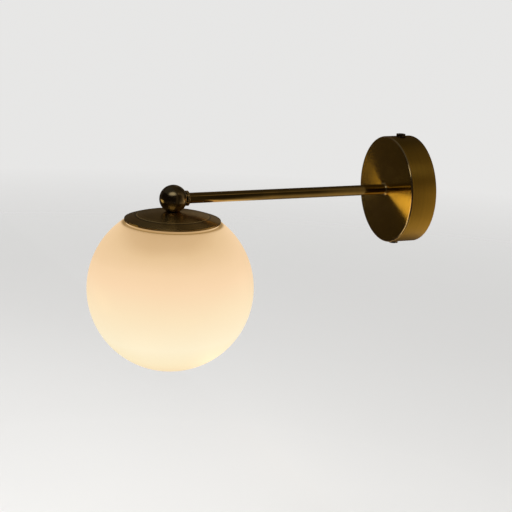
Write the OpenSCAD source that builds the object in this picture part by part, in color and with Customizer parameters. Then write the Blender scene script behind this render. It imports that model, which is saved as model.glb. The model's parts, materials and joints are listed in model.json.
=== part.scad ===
// Globe wall sconce: an opal glass ball under a shallow brass cap, at the end of a straight brass arm.
// Millimetres. The origin is the centre of the canopy's back rim, on the wall. The wall is the plane y = 0,
// the arm runs along -Y into the room, +Z is up.

/* [Canopy] */
// Outside diameter of the canopy
canopy_d = 100; // [90:1:130]
// Depth of the canopy, from the wall to its face
canopy_depth = 26; // [24:1:40]
// Sheet thickness of the canopy
canopy_wall = 1; // [0.6:0.1:1.5]
// Radius of the canopy's rounded front edge
canopy_edge_r = 1.6; // [1.2:0.1:3]

/* [Side screws] */
// Thread diameter of the two side screws
side_screw_d = 4; // [3:0.5:5]
// Diameter of the knurled head
side_head_d = 8.5; // [6:0.5:10]
// Height of the knurled head
side_head_h = 2.4; // [1.5:0.1:4]
// Length of the side screw under its head
side_screw_len = 7; // [5:0.5:10]
// Distance of the side screws from the wall
side_screw_y = 13; // [9:0.5:15]

/* [Wall bracket] */
// Width of the strap
strap_w = 20; // [16:1:26]
// Thickness of the strap and of its turned ends
strap_t = 1.5; // [1:0.1:2.5]
// Width of the turned ends
tab_w = 12; // [9:0.5:14]
// Length of the turned ends, out from the wall
tab_len = 18; // [16:0.5:20]
// Gap between the bracket and the canopy's inside wall
bracket_gap = 0.3; // [0.2:0.05:0.6]
// Distance between the centres of the two wall slots
slot_spacing = 60; // [58:0.5:64]
// Length of each wall slot, end to end
slot_len = 14; // [8:0.5:14]
// Width of each wall slot
slot_w = 4.5; // [3.5:0.1:5.5]
// Diameter of the cable hole in the middle of the strap
cable_hole_d = 10.5; // [8:0.5:12]

/* [Earth terminal] */
// Distance of the earth screw below the middle of the strap
earth_z = 14; // [12:0.5:16]
// Thread diameter of the earth screw
earth_screw_d = 4; // [3:0.5:4]
// Diameter of the earth screw's head
earth_head_d = 8; // [6.5:0.5:9]
// Height of the earth screw's head
earth_head_h = 2.6; // [2:0.1:3]
// Diameter of the ring of the earth terminal
earth_ring_d = 8.4; // [7:0.2:9]
// Thickness of the earth terminal and of its washer
earth_plate_t = 0.8; // [0.5:0.1:1]

/* [Terminal block] */
// Distance between two poles
pole_pitch = 8; // [7:0.5:9]
// Length of the block along its wires
block_len = 14; // [12:0.5:14]
// Height of the block, out from the strap
block_h = 12; // [10:0.5:14]
// Height of the middle of the block above the middle of the strap
block_z = 15; // [14:0.5:15]
// Outside diameter of a brass barrel
barrel_d = 4.2; // [3.8:0.1:5]
// Thread diameter of the wire screws
wire_screw_d = 2.6; // [2:0.1:3]

/* [Arm] */
// Distance from the wall to the middle of the ball
reach = 240; // [180:5:320]
// Outside diameter of the arm tube
arm_d = 9.6; // [9:0.1:10]
// Wall of the arm tube
arm_wall = 1; // [0.7:0.1:1.3]
// Diameter of the collar on the canopy's face
canopy_collar_d = 12.4; // [11:0.1:18]
// Thickness of the collar on the canopy's face
canopy_collar_t = 2.4; // [1.5:0.1:5]
// Diameter of the collar against the ball
ball_collar_d = 13.6; // [12:0.1:16]
// Thickness of the collar against the ball
ball_collar_t = 2.6; // [1.5:0.1:4]
// Thickness of a washer
washer_t = 0.8; // [0.5:0.1:1.2]
// Diameter of a washer
washer_d = 18; // [16:0.5:22]
// Distance across the flats of a nut
nut_af = 14; // [13:0.5:17]
// Thickness of a nut
nut_t = 3.2; // [2.5:0.1:4]
// How far the tube stands out of the nut inside the canopy
tube_past_nut = 1.5; // [0.5:0.5:2]

/* [Ball elbow] */
// Diameter of the ball
ball_d = 25; // [23:0.5:32]
// Depth of the threaded holes in the ball
ball_thread_len = 5.5; // [4:0.5:6]
// Diameter of the wire channel between the two threaded holes
channel_d = 6.4; // [5.6:0.1:7]
// Diameter of the flat against the collar
arm_seat_d = 10.6; // [10.4:0.1:12]
// Diameter of the flat on which the cap sits
cap_seat_d = 11.8; // [11.4:0.1:13]

/* [Head nipple] */
// Outside diameter of the hollow threaded nipple
nipple_d = 10; // [9:0.1:10.4]
// Wall of the nipple
nipple_wall = 1.1; // [0.8:0.1:1.4]

/* [Cap] */
// Diameter of the cap
cap_d = 86; // [80:1:100]
// Drop from the middle of the ball to the bottom of the cap's rim
cap_drop = 20; // [19:0.5:22]
// Height of the cap's upright rim
cap_rim_h = 1.5; // [1.2:0.1:2.5]
// Sheet thickness of the cap
cap_wall = 0.8; // [0.7:0.1:1]

/* [Spring gallery] */
// Diameter of the gallery's middle plate
gallery_hub_d = 28; // [24:1:32]
// Sheet thickness of the gallery
gallery_t = 0.8; // [0.6:0.1:1]
// Width of a spring arm
spring_w = 8; // [6:0.5:10]
// Number of spring arms
spring_count = 3; // [3:1:4]
// Gap between the spring arms and the glass neck
spring_gap = 0.3; // [0.2:0.05:0.4]
// Thickness of the gasket between the cap and the glass neck
gasket_t = 0.8; // [0.5:0.1:0.9]

/* [Glass globe] */
// Outside diameter of the globe
globe_d = 150; // [140:1:180]
// Thickness of the glass
glass_t = 3; // [2:0.1:3.4]
// Gap between the cap's rim and the glass neck
neck_gap = 0.7; // [0.4:0.1:1]
// Distance of the glass shoulder below the cap's rim
shoulder_drop = 2.4; // [1.8:0.1:4]
// Gap between the gasket and the glass neck
glass_gap = 0.3; // [0.2:0.05:0.4]

/* [Lampholder] */
// Outside diameter of the lampholder
holder_d = 29; // [28:0.5:31]
// Length of the lampholder, from its threaded top to its mouth
holder_len = 49; // [48:0.5:52]
// Wall of the lampholder
holder_wall = 1.6; // [1.2:0.1:1.8]
// Length of the lampholder's threaded top
holder_boss_h = 7.5; // [6:0.5:8]
// Distance from the top of the lampholder to the top of its core
core_drop = 17; // [16:0.5:17]
// Thickness of the core
core_h = 11; // [10:0.5:11]
// Diameter of the terminals in the core
holder_terminal_d = 4.4; // [4:0.1:4.6]
// Inside diameter of the threaded shell
shell_d = 14.5; // [14.5:0.1:15]
// Sheet thickness of the shell and of the centre contact
shell_t = 0.5; // [0.3:0.1:0.6]
// Length of the shell
shell_len = 18; // [16:0.5:18]

/* [Bulb] */
// Diameter of the bulb
bulb_d = 45; // [44:0.5:46]
// Length of the bulb over all
bulb_len = 78; // [74:1:80]
// Diameter of the screw base
base_d = 13.9; // [13.5:0.1:14]
// Length of the screw base with its contact
base_len = 24; // [22:0.5:25]
// Wall of the diffuser
diffuser_t = 1.2; // [0.8:0.1:2]
// Gap between the bulb's contact and the centre contact
contact_gap = 0.3; // [0.2:0.05:0.4]

/* [Wires] */
// Outside diameter of a wire
wire_d = 1.8; // [1.4:0.1:2]
// Distance between the live and neutral wires in the arm
wire_pitch = 2.3; // [2.2:0.1:2.6]

/* [Hidden] */
$fn = 96;
eps = 0.01;
cut = 1;
thread_gap = 0.05;
seat_gap = 0.05;
screw_hole_gap = 0.25;
edge_ease = 0.4;

// Canopy
canopy_r = canopy_d / 2;
canopy_r_in = canopy_r - canopy_wall;
canopy_floor = canopy_depth - canopy_wall;

// Wall bracket
bracket_r = canopy_r_in - bracket_gap;
tab_face = sqrt(pow(bracket_r, 2) - pow(tab_w / 2, 2));
hem_r = 2;

// Side screws
side_seat = canopy_r + seat_gap;
knurls = 20;
knurl_r = 0.35;
head_taper = 0.72;
driver_slot_w = 0.9;
driver_slot_depth = 0.9;

// Earth terminal, stacked on the strap: washer, ring terminal, screw head
earth_ring_y = strap_t + earth_plate_t;
earth_head_y = earth_ring_y + earth_plate_t;
crimp_d = 3.2;
crimp_len = 5;
crimp_axis_y = strap_t + earth_plate_t + crimp_d / 2;
crimp_start = earth_ring_d / 2 + 0.6;
crimp_past = 2;

// Terminal block
poles = [-pole_pitch, 0, pole_pitch];
block_w = 3 * pole_pitch;
barrel_rise = 5;
barrel_y = strap_t + barrel_rise;
wire_room = 0.4;
barrel_bore = wire_d + wire_room;
barrel_inset = 0.75;
barrel_len = block_len - 2 * barrel_inset;
wire_screw_z = barrel_len / 4;
wire_screw_inset = 1;
wire_screw_len = block_h - barrel_rise - barrel_bore / 2 - wire_screw_inset;
wire_screw_slot = [0.6, 0.8];
block_notch = [1, 10, 3];
fixing_x = pole_pitch / 2;
fixing_d = 2.8;
fixing_head_d = 4.8;
fixing_head_h = 1.8;
well_d = 4;
fixing_well = 4;

// Arm
arm_r = arm_d / 2;
arm_bore = arm_d - 2 * arm_wall;
washer_y = canopy_floor - washer_t;
arm_nut_y = washer_y - nut_t;
arm_start = arm_nut_y - tube_past_nut;
washer_teeth = 24;
washer_tooth_r = 0.7;

// Ball elbow: two flats, towards the arm and down towards the cap
ball_r = ball_d / 2;
arm_flat = sqrt(pow(ball_r, 2) - pow(arm_seat_d / 2, 2));
cap_flat = sqrt(pow(ball_r, 2) - pow(cap_seat_d / 2, 2));
arm_end = reach - arm_flat + ball_thread_len;
ball_collar_y = reach - arm_flat - ball_collar_t;

// Cap: a dome over an upright rim. The dome is part of a ball.
cap_r = cap_d / 2;
cap_rise = cap_drop - cap_rim_h - cap_flat;
dome_r = (pow(cap_r, 2) + pow(cap_rise, 2)) / (2 * cap_rise);
dome_centre = -cap_flat - dome_r;
function dome_z(inset, r) = dome_centre + sqrt(pow(dome_r - inset, 2) - pow(r, 2));

// Glass globe: a ball with a short, wide neck that stands up inside the cap's rim
globe_r = globe_d / 2;
neck_r = cap_r - cap_wall - neck_gap;
neck_bore_r = neck_r - glass_t;
shoulder_z = -cap_drop - shoulder_drop;
globe_drop = 0.5;
globe_z = -cap_drop - globe_drop - sqrt(pow(globe_r, 2) - pow(cap_r, 2));
gasket_inset = 0.3;
gasket_top = dome_z(cap_wall, neck_r - gasket_inset) - seat_gap;
neck_top = gasket_top - gasket_t - glass_gap;

// Spring gallery: a plate under the cap, and arms bent to press on the inside of the glass neck
hub_r = gallery_hub_d / 2;
hub_top = dome_z(cap_wall, hub_r) - seat_gap;
hub_mid = hub_top - gallery_t / 2;
spring_r = neck_bore_r - spring_gap - gallery_t / 2;
spring_root = 2;
spring_run = 4;
spring_dip = 0.9;
spring_knee = 4.5;
spring_grip = 2.2;
spring_tail_in = 6.2;
spring_tail_drop = 9;
spring_line = [
    [hub_r - spring_root, hub_mid],
    [hub_r + spring_run, hub_mid - spring_dip],
    [spring_r - spring_knee, neck_top + spring_grip],
    [spring_r - spring_knee / 8, neck_top - spring_grip / 4],
    [spring_r, neck_top - spring_grip],
    [spring_r - spring_tail_in / 15, neck_top - spring_grip * 1.8],
    [spring_r - spring_tail_in * 0.68, neck_top - spring_tail_drop * 0.93],
    [spring_r - spring_tail_in, neck_top - spring_tail_drop]
];
head_nut_top = hub_top - gallery_t - washer_t;

// Lampholder
holder_r = holder_d / 2;
holder_top = head_nut_top - nut_t - 0.4;
holder_joint = holder_top - core_drop - 4;
holder_mouth = holder_top - holder_len;
nipple_end = holder_top - holder_boss_h;
boss_r = nipple_d / 2 + 2.2;
spigot_r = holder_r - holder_wall - thread_gap;
spigot_wall = 1.2;
core_r = spigot_r - spigot_wall - 0.1;
core_top = holder_top - core_drop;
core_bottom = core_top - core_h;
web_h = 1.6;
web_gap = 1.2;
boss_foot = 2;
shoulder_fall = 3.4;
shoulder_in = 2.2;
flange_r = core_r - 0.6;
clamp_drop = 2.5;
clamp_screw_len = 3;
clamp_screw_room = 0.4;
terminal_bore_depth = 4;
contact_past = 1.2;
live_x = -5;
neutral_x = 8.2;
terminal_stand = 1;
terminal_len = 6.5;
stem_r = 0.9;
clamp_screw_d = 2;
contact_w = 4;
contact_tip_r = 2.4;

// Bulb
bulb_r = bulb_d / 2;
bulb_top = core_bottom - shell_t - contact_gap;
bulb_bottom = bulb_top - bulb_len;
bulb_centre = bulb_bottom + bulb_r;
tip_r = 2.4;
tip_h = 1.2;
insulator_h = 2.4;
base_shell_t = 0.5;
base_top = bulb_top - tip_h - insulator_h;
base_bottom = bulb_top - base_len;
thread_r = 0.5;
thread_pitch = 2.8;
housing_wall = 1.4;
board_t = 1.4;
board_rise = bulb_r * 0.76;
board_top = bulb_centre + board_rise;
board_z = board_top - board_t;
board_clearance = 0.2;
board_r = sqrt(pow(bulb_r - diffuser_t, 2) - pow(board_rise, 2)) - board_clearance;
diffuser_rim_r = sqrt(pow(bulb_r, 2) - pow(board_rise, 2));
chips = 9;
chip_size = [2.8, 3.5, 0.7];
chip_inset = 3.4;
housing_flare = 0.8;
housing_flare_z = 4;
housing_tongue = 3;
driver_t = 1.2;
driver_clearance = 1.2;
capacitor_r = 1.8;
capacitor_h = 2.4;

// Wires: 8-sided tubes
wire_r = wire_d / 2;
wire_sides = 8;
wire_ref = [0.3, -0.8, 0.5];
bend_steps = 4;
bend_len = 3;
wire_lead = 5;
wire_foot = 2.5;

// ---- Helpers ----

// Turns +Z to point out of the wall, so heights become distances from the wall.
module outward() {
    rotate([90, 0, 0]) children();
}

// Moves to the head's upright axis, which passes through the middle of the ball.
module at_head() {
    translate([0, -reach, 0]) children();
}

// Upright ring between two heights.
module ring(r_out, r_in, z_low, z_high) {
    translate([0, 0, z_low]) difference() {
        cylinder(r = r_out, h = z_high - z_low);
        translate([0, 0, -cut]) cylinder(r = r_in, h = z_high - z_low + 2 * cut);
    }
}

// Section of a cup that stands on its mouth: radius, height, radius of the rounded edge.
module cup_section(r, h, edge) {
    square([r - edge, h]);
    square([r, h - edge]);
    translate([r - edge, h - edge]) circle(r = edge);
}

// Collar with eased edges.
module collar(d, bore, t) {
    rotate_extrude() polygon([
        [bore / 2, 0], [d / 2 - edge_ease, 0], [d / 2, edge_ease],
        [d / 2, t - edge_ease], [d / 2 - edge_ease, t], [bore / 2, t]
    ]);
}

// Outline of a strip of sheet that follows a line of points.
function across(p, i) =
    let (along = unit(p[min(i + 1, len(p) - 1)] - p[max(i - 1, 0)])) [-along[1], along[0]];
function strip(p, t) = [
    for (i = [0:len(p) - 1]) p[i] + across(p, i) * t / 2,
    for (i = [len(p) - 1:-1:0]) p[i] - across(p, i) * t / 2
];

// Hexagon nut.
module nut(af, bore, t) {
    difference() {
        cylinder(d = af / cos(30), h = t, $fn = 6);
        translate([0, 0, -cut]) cylinder(d = bore, h = t + 2 * cut);
    }
}

// Washer with a toothed edge.
module toothed_washer(d, bore, t) {
    linear_extrude(t) difference() {
        circle(d = d);
        circle(d = bore);
        for (i = [0:washer_teeth - 1])
            rotate(i * 360 / washer_teeth) translate([d / 2, 0]) circle(r = washer_tooth_r);
    }
}

// Screw that points down from z = 0, with a domed, slotted head above.
module round_head_screw(d, len, head_d, head_h) {
    translate([0, 0, -len]) cylinder(d = d, h = len + eps);
    difference() {
        cylinder(d1 = head_d, d2 = head_d * head_taper, h = head_h);
        translate([-head_d, -driver_slot_w / 2, head_h - driver_slot_depth])
            cube([2 * head_d, driver_slot_w, driver_slot_depth + cut]);
    }
}

// Knurled, slotted thumb screw. Its head sits on z = 0 and its thread points down.
module side_screw() {
    head_r = side_head_d / 2;
    difference() {
        linear_extrude(side_head_h) difference() {
            circle(r = head_r);
            for (i = [0:knurls - 1])
                rotate(i * 360 / knurls) translate([head_r, 0]) circle(r = knurl_r);
        }
        translate([-head_r - cut, -driver_slot_w / 2, side_head_h - driver_slot_depth])
            cube([side_head_d + 2 * cut, driver_slot_w, driver_slot_depth + cut]);
    }
    translate([0, 0, -side_screw_len]) cylinder(d = side_screw_d, h = side_screw_len + eps);
}

// ---- Wires ----

function unit(v) = v / norm(v);
function bezier(a, b, c, t) = pow(1 - t, 2) * a + 2 * t * (1 - t) * b + pow(t, 2) * c;

// A route of straight runs with each corner rounded off.
function rounded(p) = [
    p[0],
    for (i = [1:len(p) - 2])
        let (
            before = p[i] + unit(p[i - 1] - p[i]) * min(bend_len, norm(p[i - 1] - p[i]) * 0.45),
            after = p[i] + unit(p[i + 1] - p[i]) * min(bend_len, norm(p[i + 1] - p[i]) * 0.45)
        )
        for (k = [0:bend_steps]) bezier(before, p[i], after, k / bend_steps),
    p[len(p) - 1]
];

// Ring of points round point i of route p.
function wire_ring(p, i) =
    let (
        last = len(p) - 1,
        along = unit(p[min(i + 1, last)] - p[max(i - 1, 0)]),
        side = unit(cross(along, wire_ref)),
        up = cross(along, side)
    )
    [
        for (k = [0:wire_sides - 1])
            p[i] + wire_r * (cos(k * 360 / wire_sides) * side + sin(k * 360 / wire_sides) * up)
    ];

// Tube along a route.
module wire(route) {
    p = rounded(route);
    n = wire_sides;
    last = len(p) - 1;
    points = [for (i = [0:last]) each wire_ring(p, i)];
    sides = [
        for (i = [0:last - 1]) for (k = [0:n - 1])
            [i * n + k, i * n + (k + 1) % n, (i + 1) * n + (k + 1) % n, (i + 1) * n + k]
    ];
    start_cap = [for (k = [0:n - 1]) n - 1 - k];
    end_cap = [for (k = [0:n - 1]) last * n + k];
    polyhedron(points, [start_cap, each sides, end_cap], convexity = 6);
}

// Route of a lamp wire, from its pole through arm, ball and nipple to its terminal.
function lamp_route(pole_x, bore_x, terminal_x) = [
    [pole_x, -barrel_y, block_z - barrel_len / 4],
    [pole_x, -barrel_y, block_z - block_len / 2 - wire_lead],
    [bore_x, -arm_start + wire_lead, 0],
    [bore_x, -arm_start - wire_lead, 0],
    [bore_x, -reach, 0],
    [bore_x, -reach, nipple_end - 1],
    [terminal_x, -reach, core_top + terminal_stand + wire_foot],
    [terminal_x, -reach, core_top + terminal_stand - wire_foot]
];

// ---- Wall side ----

module wall_bracket() {
    color("silver") difference() {
        union() {
            outward() linear_extrude(strap_t) intersection() {
                circle(r = bracket_r);
                union() {
                    translate([-strap_w / 2, -slot_spacing / 2 - slot_len / 2 - hem_r])
                        square([strap_w, slot_spacing + slot_len + 2 * hem_r]);
                    translate([-tab_w / 2, -tab_face]) square([tab_w, 2 * tab_face]);
                }
            }
            for (side = [-1, 1])
                translate([-tab_w / 2, -tab_len, side > 0 ? tab_face - strap_t : -tab_face])
                    cube([tab_w, tab_len, strap_t]);
        }
        outward() translate([0, 0, -cut]) {
            cylinder(d = cable_hole_d, h = strap_t + 2 * cut);
            translate([0, -earth_z, 0])
                cylinder(d = earth_screw_d + 2 * thread_gap, h = strap_t + 2 * cut);
            for (x = [-fixing_x, fixing_x]) translate([x, block_z, 0])
                cylinder(d = fixing_d + 2 * thread_gap, h = strap_t + 2 * cut);
            for (side = [-1, 1]) translate([0, side * slot_spacing / 2, 0]) {
                straight = slot_len - slot_w;
                translate([-slot_w / 2, -straight / 2, 0])
                    cube([slot_w, straight, strap_t + 2 * cut]);
                for (end = [-1, 1]) translate([0, end * straight / 2, 0])
                    cylinder(d = slot_w, h = strap_t + 2 * cut);
            }
        }
        translate([0, -side_screw_y, -canopy_r])
            cylinder(d = side_screw_d + 2 * thread_gap, h = canopy_d);
    }
}

module earth_washer() {
    color("gainsboro") translate([0, 0, -earth_z]) outward() translate([0, 0, strap_t])
        toothed_washer(earth_ring_d + 0.4, earth_screw_d + 2 * thread_gap, earth_plate_t);
}

module earth_ring_terminal() {
    color("gainsboro") translate([0, 0, -earth_z]) {
        outward() translate([0, 0, earth_ring_y]) difference() {
            union() {
                cylinder(d = earth_ring_d, h = earth_plate_t);
                translate([0, -crimp_d / 2, 0]) cube([crimp_start, crimp_d, earth_plate_t]);
            }
            translate([0, 0, -cut])
                cylinder(d = earth_screw_d + 2 * thread_gap, h = earth_plate_t + 2 * cut);
        }
        translate([crimp_start - eps, -crimp_axis_y, 0]) rotate([0, 90, 0]) difference() {
            cylinder(d = crimp_d, h = crimp_len);
            translate([0, 0, -cut]) cylinder(d = wire_d + 2 * thread_gap, h = crimp_len + 2 * cut);
        }
    }
}

module earth_screw() {
    color("yellowgreen") translate([0, 0, -earth_z]) outward() translate([0, 0, earth_head_y])
        round_head_screw(earth_screw_d, earth_head_y - seat_gap, earth_head_d, earth_head_h);
}

module terminal_block() {
    color("ivory") translate([0, -strap_t, block_z]) difference() {
        translate([-block_w / 2, -block_h, -block_len / 2]) cube([block_w, block_h, block_len]);
        for (x = poles) {
            translate([x, strap_t - barrel_y, -block_len / 2 - cut])
                cylinder(d = barrel_d + 2 * thread_gap, h = block_len + 2 * cut);
            for (z = [-wire_screw_z, wire_screw_z]) translate([x, strap_t - barrel_y, z])
                outward() cylinder(d = well_d, h = block_h);
        }
        for (x = [-fixing_x, fixing_x]) translate([x, 0, 0]) outward() {
            translate([0, 0, -cut]) cylinder(d = fixing_d + 2 * thread_gap, h = block_h + 2 * cut);
            translate([0, 0, block_h - fixing_well])
                cylinder(d = fixing_head_d + 2 * screw_hole_gap, h = fixing_well + cut);
        }
        for (side = [-1, 1]) for (end = [-1, 1])
            translate([side * fixing_x, -block_h, end * block_len / 2])
                cube(block_notch, center = true);
    }
}

module terminal_barrels() {
    color("gold") for (x = poles) translate([x, -barrel_y, block_z]) difference() {
        translate([0, 0, -barrel_len / 2]) cylinder(d = barrel_d, h = barrel_len);
        translate([0, 0, -barrel_len / 2 - cut]) cylinder(d = barrel_bore, h = barrel_len + 2 * cut);
        for (z = [-wire_screw_z, wire_screw_z]) translate([0, 0, z])
            outward() cylinder(d = wire_screw_d + 2 * thread_gap, h = barrel_d);
    }
}

module terminal_wire_screws() {
    color("goldenrod") for (x = poles) for (z = [-wire_screw_z, wire_screw_z])
        translate([x, -barrel_y, block_z + z]) outward() translate([0, 0, wire_r + seat_gap])
            difference() {
                cylinder(d = wire_screw_d, h = wire_screw_len);
                translate([-wire_screw_d, -wire_screw_slot[0] / 2, wire_screw_len - wire_screw_slot[1]])
                    cube([2 * wire_screw_d, wire_screw_slot[0], cut]);
            }
}

module terminal_fixing_screws() {
    seat = strap_t + block_h - fixing_well;
    color("silver") for (x = [-fixing_x, fixing_x]) translate([x, 0, block_z]) outward()
        translate([0, 0, seat])
            round_head_screw(fixing_d, seat - seat_gap, fixing_head_d, fixing_head_h);
}

module canopy() {
    color("darkgoldenrod") difference() {
        outward() rotate_extrude() difference() {
            cup_section(canopy_r, canopy_depth, canopy_edge_r);
            translate([0, -cut]) cup_section(
                canopy_r_in, canopy_floor + cut, max(canopy_edge_r - canopy_wall, 0.2)
            );
            translate([0, canopy_floor - cut]) square([arm_r + thread_gap, canopy_wall + 2 * cut]);
        }
        translate([0, -side_screw_y, -canopy_r - cut])
            cylinder(d = side_screw_d + 2 * screw_hole_gap, h = canopy_d + 2 * cut);
    }
}

module top_side_screw() {
    color("saddlebrown") translate([0, -side_screw_y, side_seat]) side_screw();
}

module bottom_side_screw() {
    color("saddlebrown") translate([0, -side_screw_y, -side_seat]) rotate([180, 0, 0]) side_screw();
}

// ---- Arm ----

module canopy_collar() {
    color("darkgoldenrod") outward() translate([0, 0, canopy_depth])
        collar(canopy_collar_d, arm_d + 2 * thread_gap, canopy_collar_t);
}

module arm_washer() {
    color("silver") outward() translate([0, 0, washer_y])
        toothed_washer(washer_d, arm_d + 2 * thread_gap, washer_t);
}

module arm_nut() {
    color("gold") outward() translate([0, 0, arm_nut_y]) nut(nut_af, arm_d + 2 * thread_gap, nut_t);
}

module arm_tube() {
    color("darkgoldenrod") outward() ring(arm_r, arm_bore / 2, arm_start, arm_end);
}

module ball_collar() {
    color("darkgoldenrod") outward() translate([0, 0, ball_collar_y])
        collar(ball_collar_d, arm_d + 2 * thread_gap, ball_collar_t);
}

module ball_elbow() {
    color("saddlebrown") at_head() difference() {
        sphere(r = ball_r);
        translate([-ball_r, arm_flat, -ball_r]) cube([ball_d, ball_r, ball_d]);
        translate([-ball_r, -ball_r, -ball_d - cap_flat]) cube([ball_d, ball_d, ball_d]);
        outward() translate([0, 0, -arm_flat - cut])
            cylinder(d = arm_d + 2 * thread_gap, h = ball_thread_len + seat_gap + cut);
        translate([0, 0, -cap_flat - cut])
            cylinder(d = nipple_d + 2 * thread_gap, h = ball_thread_len + seat_gap + cut);
        outward() translate([0, 0, -arm_flat]) cylinder(d = channel_d, h = arm_flat);
        translate([0, 0, -cap_flat]) cylinder(d = channel_d, h = cap_flat);
        sphere(d = channel_d);
    }
}

// ---- Head ----

module head_nipple() {
    color("gold") at_head()
        ring(nipple_d / 2, nipple_d / 2 - nipple_wall, nipple_end, ball_thread_len - cap_flat);
}

module globe_cap() {
    color("saddlebrown") at_head() rotate_extrude() difference() {
        union() {
            intersection() {
                translate([0, dome_centre]) circle(r = dome_r, $fn = 360);
                translate([0, cap_rim_h - cap_drop]) square([cap_r, cap_drop]);
            }
            translate([0, -cap_drop]) square([cap_r, cap_rim_h]);
        }
        translate([0, dome_centre]) intersection() {
            circle(r = dome_r - cap_wall, $fn = 360);
            translate([0, -dome_centre - cap_drop - cut]) square([cap_r - cap_wall, cap_drop]);
        }
        translate([0, -cap_drop - cut]) square([nipple_d / 2 + thread_gap, cap_drop + cut]);
    }
}

module spring_gallery() {
    color("silver") at_head() difference() {
        union() {
            translate([0, 0, hub_top - gallery_t]) cylinder(r = hub_r, h = gallery_t);
            for (i = [0:spring_count - 1]) rotate(i * 360 / spring_count) outward()
                translate([0, 0, -spring_w / 2]) linear_extrude(spring_w)
                    polygon(strip(spring_line, gallery_t));
        }
        translate([0, 0, hub_top - gallery_t - cut])
            cylinder(d = nipple_d + 2 * thread_gap, h = gallery_t + 2 * cut);
    }
}

module head_washer() {
    color("silver") at_head() translate([0, 0, head_nut_top])
        toothed_washer(washer_d, nipple_d + 2 * thread_gap, washer_t);
}

module head_nut() {
    color("gold") at_head() translate([0, 0, head_nut_top - nut_t])
        nut(nut_af, nipple_d + 2 * thread_gap, nut_t);
}

module neck_gasket() {
    color("whitesmoke") at_head() ring(
        neck_r - gasket_inset, neck_bore_r + gasket_inset, gasket_top - gasket_t, gasket_top
    );
}

module glass_globe() {
    color("moccasin") at_head() rotate_extrude() difference() {
        union() {
            intersection() {
                translate([0, globe_z]) circle(r = globe_r, $fn = 360);
                translate([0, shoulder_z - globe_d]) square([globe_r, globe_d]);
            }
            translate([0, shoulder_z - eps]) square([neck_r, neck_top - shoulder_z + eps]);
        }
        intersection() {
            translate([0, globe_z]) circle(r = globe_r - glass_t, $fn = 360);
            translate([0, shoulder_z - glass_t - globe_d]) square([globe_r, globe_d]);
        }
        translate([0, shoulder_z - glass_t - cut])
            square([neck_bore_r, neck_top - shoulder_z + glass_t + 2 * cut]);
    }
}

// ---- Lampholder ----

module lampholder_cap() {
    shoulder = holder_top - holder_boss_h;
    in_r = holder_r - holder_wall;
    color("dimgray") at_head() rotate_extrude() polygon([
        [nipple_d / 2 + thread_gap, holder_top], [boss_r, holder_top], [boss_r, shoulder + boss_foot],
        [holder_r - shoulder_in, shoulder - shoulder_fall + shoulder_in],
        [holder_r, shoulder - shoulder_fall], [holder_r, holder_joint], [in_r, holder_joint],
        [in_r, shoulder - shoulder_fall - seat_gap],
        [in_r - boss_foot, shoulder - shoulder_fall + boss_foot - seat_gap],
        [nipple_d / 2 + thread_gap, shoulder]
    ]);
}

module lampholder_body() {
    ledge = core_bottom - shell_t;
    in_r = holder_r - holder_wall;
    web_r = shell_d / 2 + shell_t + web_gap;
    color("dimgray") at_head() rotate_extrude() polygon([
        [spigot_r - spigot_wall, core_top], [spigot_r, core_top],
        [spigot_r, holder_joint - seat_gap], [holder_r, holder_joint - seat_gap],
        [holder_r, holder_mouth + spigot_wall / 2], [holder_r - spigot_wall / 2, holder_mouth],
        [in_r, holder_mouth], [in_r, ledge - web_h], [web_r, ledge - web_h], [web_r, ledge],
        [spigot_r - spigot_wall, ledge]
    ]);
}

module lampholder_core() {
    color("white") at_head() difference() {
        translate([0, 0, core_bottom]) cylinder(r = core_r, h = core_h);
        for (x = [live_x, neutral_x]) {
            translate([x, 0, core_top + terminal_stand - terminal_len])
                cylinder(d = holder_terminal_d + 2 * thread_gap, h = terminal_len);
            translate([x, 0, core_bottom - cut]) cylinder(r = stem_r + thread_gap, h = core_h);
            translate([x, 0, core_top - clamp_drop]) outward()
                cylinder(r = clamp_screw_d / 2 + clamp_screw_room, h = core_r);
        }
    }
}

module lampholder_terminals() {
    top = core_top + terminal_stand;
    color("gold") at_head() for (x = [live_x, neutral_x]) translate([x, 0, 0]) difference() {
        union() {
            translate([0, 0, top - terminal_len + seat_gap])
                cylinder(d = holder_terminal_d, h = terminal_len - seat_gap);
            translate([0, 0, core_bottom])
                cylinder(r = stem_r, h = core_h + terminal_stand - terminal_len + 2 * seat_gap);
        }
        translate([0, 0, top - terminal_bore_depth])
            cylinder(d = wire_d + wire_room, h = terminal_bore_depth + cut);
        translate([0, 0, core_top - clamp_drop]) outward()
            cylinder(d = clamp_screw_d + 2 * thread_gap, h = holder_terminal_d);
    }
}

module lampholder_clamp_screws() {
    color("silver") at_head() for (x = [live_x, neutral_x]) translate([x, 0, core_top - clamp_drop])
        outward() translate([0, 0, wire_r + seat_gap]) cylinder(d = clamp_screw_d, h = clamp_screw_len);
}

module lampholder_shell() {
    shell_r = shell_d / 2;
    color("gold") at_head() {
        ring(flange_r, shell_r, core_bottom - shell_t, core_bottom);
        ring(shell_r + shell_t, shell_r, core_bottom - shell_len, core_bottom - shell_t + eps);
    }
}

module lampholder_contact() {
    color("gold") at_head() translate([0, 0, core_bottom - shell_t]) {
        cylinder(r = contact_tip_r, h = shell_t);
        translate([live_x - contact_past, -contact_w / 2, 0])
            cube([contact_past - live_x, contact_w, shell_t]);
    }
}

// ---- Bulb ----

module bulb_contact() {
    color("silver") at_head() translate([0, 0, bulb_top - tip_h]) cylinder(r = tip_r, h = tip_h);
}

module bulb_insulator() {
    color("black") at_head() translate([0, 0, base_top])
        cylinder(r1 = base_d / 2 - 1.2, r2 = tip_r + 0.6, h = insulator_h);
}

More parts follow.
